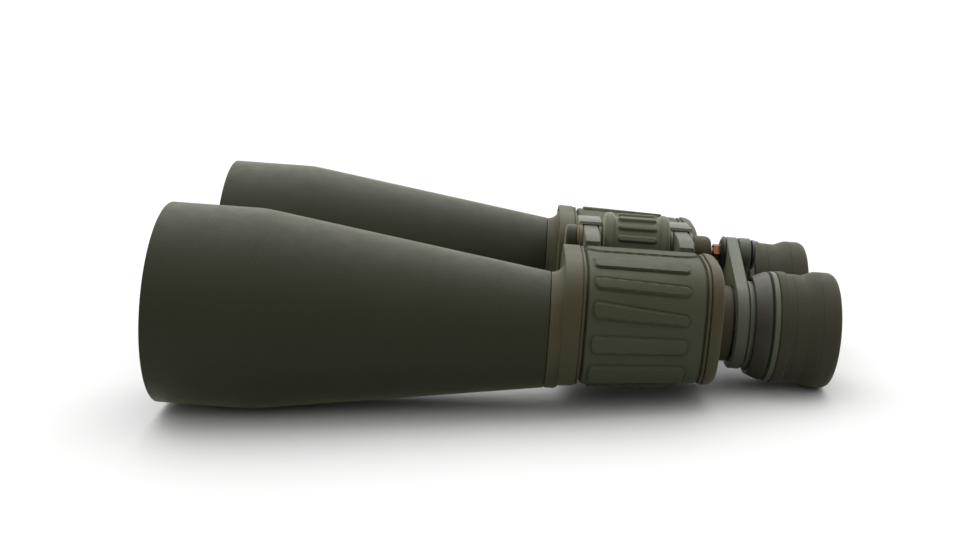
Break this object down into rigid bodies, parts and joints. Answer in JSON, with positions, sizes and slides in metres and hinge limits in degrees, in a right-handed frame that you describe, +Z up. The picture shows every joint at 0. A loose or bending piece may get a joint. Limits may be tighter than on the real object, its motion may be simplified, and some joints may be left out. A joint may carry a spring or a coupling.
{
  "type": "binoculars",
  "caption": "Porro-prism binoculars with long conical objective tubes, ribbed rubber armour, a centre hinge and a ribbed focus wheel.",
  "frame": {"origin": "centre of the bounding box's bottom face, on the surface the instrument lies on", "axes": "+Y towards the objectives, +X towards the user's right, +Z up; the optical axes rise 4.17 degrees towards +Y because it lies on its bells and eyecups"},
  "size_m": [0.2054, 0.2808, 0.0843],
  "materials": {
    "green_paint": "fine-textured matte olive-green paint",
    "tan_paint": "matte brown-olive paint",
    "green_rubber": "moulded matte green rubber armour",
    "pale_green_paint": "satin grey-green paint",
    "wheel_rubber": "ribbed grey-green rubber",
    "eyecup_rubber": "soft matte brown-green rubber",
    "dark_brown_paint": "satin dark brown",
    "black_anodised": "black anodised",
    "steel": "plain turned steel",
    "copper": "bright copper-coloured metal",
    "coated_glass": "clear, with a faint blue-violet coating"
  },
  "bodies": {
    "left_half": {"objective_tube_left": "green_paint", "objective_cell_left": "black_anodised", "objective_crown_left": "coated_glass", "objective_flint_left": "coated_glass", "objective_ring_left": "black_anodised", "prism_housing_left": "tan_paint", "rubber_armour_left": "green_rubber", "rear_plate_left": "tan_paint", "front_prism_left": "coated_glass", "rear_prism_left": "coated_glass", "prism_shelf_left": "black_anodised", "guide_tube_left": "tan_paint", "front_arm_left": "pale_green_paint", "rear_arm_left": "pale_green_paint", "hinge_axle": "steel", "hinge_washer": "copper", "hinge_rear_cap": "tan_paint"},
    "right_half": {"objective_tube_right": "green_paint", "objective_cell_right": "black_anodised", "objective_crown_right": "coated_glass", "objective_flint_right": "coated_glass", "objective_ring_right": "black_anodised", "prism_housing_right": "tan_paint", "rubber_armour_right": "green_rubber", "rear_plate_right": "tan_paint", "front_prism_right": "coated_glass", "rear_prism_right": "coated_glass", "prism_shelf_right": "black_anodised", "guide_tube_right": "tan_paint", "front_arm_right": "pale_green_paint", "rear_arm_right": "pale_green_paint"},
    "focus_wheel": {"focus_wheel": "wheel_rubber"},
    "left_eyepiece": {"bridge_arm_left": "pale_green_paint", "eyepiece_barrel_left": "black_anodised", "field_lens_left": "coated_glass", "field_stop_left": "black_anodised", "flange_ring_left": "pale_green_paint", "ocular_cell_left": "black_anodised", "ocular_ring_left": "pale_green_paint", "eye_lens_left": "coated_glass", "eye_lens_ring_left": "black_anodised", "eyecup_left": "eyecup_rubber", "cone_ring_left": "dark_brown_paint", "bridge_hub": "black_anodised", "bridge_screw": "black_anodised", "focus_spindle": "steel", "spindle_nut": "copper"},
    "right_eyepiece": {"bridge_arm_right": "pale_green_paint", "eyepiece_barrel_right": "black_anodised", "field_lens_right": "coated_glass", "field_stop_right": "black_anodised", "flange_ring_right": "pale_green_paint"},
    "dioptre_ring": {"dioptre_ring": "dark_brown_paint"},
    "right_ocular": {"ocular_cell_right": "black_anodised", "ocular_ring_right": "pale_green_paint", "eye_lens_right": "coated_glass", "eye_lens_ring_right": "black_anodised", "eyecup_right": "eyecup_rubber"},
    "tripod_cap": {"tripod_socket_cap": "green_paint"}
  },
  "joints": [
    {"name": "interpupillary_hinge", "type": "hinge", "parent": "left_half", "child": "right_half", "pos_m": [0, -0.05793, 0.0543], "axis": [0, 0.9974, 0.0727], "range_deg": [-19, 22]},
    {"name": "focus_turn", "type": "hinge", "parent": "left_half", "child": "focus_wheel", "pos_m": [0, -0.05793, 0.0543], "axis": [0, 0.9974, 0.0727], "range_deg": [0, 480]},
    {"name": "left_eyepiece_slide", "type": "slide", "parent": "left_half", "child": "left_eyepiece", "axis": [0, -0.9974, -0.0727], "range_m": [0, 0.008]},
    {"name": "right_eyepiece_slide", "type": "slide", "parent": "right_half", "child": "right_eyepiece", "axis": [0, -0.9974, -0.0727], "range_m": [0, 0.008]},
    {"name": "dioptre_turn", "type": "hinge", "parent": "right_eyepiece", "child": "dioptre_ring", "pos_m": [0.0334, -0.10695, 0.02666], "axis": [0, 0.9974, 0.0727], "range_deg": [-55, 55]},
    {"name": "right_ocular_slide", "type": "slide", "parent": "right_eyepiece", "child": "right_ocular", "axis": [0, -0.9974, -0.0727], "range_m": [-0.0008, 0.0008]},
    {"name": "tripod_cap_slide", "type": "slide", "parent": "left_half", "child": "tripod_cap", "axis": [0, 0.9974, 0.0727], "range_m": [0, 0.009]}
  ],
  "couplings": [
    {"joint": "focus_turn", "follows": "left_eyepiece_slide", "rad_per_m": 1047.2},
    {"joint": "right_eyepiece_slide", "follows": "left_eyepiece_slide", "ratio": 1},
    {"joint": "dioptre_turn", "follows": "right_ocular_slide", "rad_per_m": 1199.9}
  ]
}
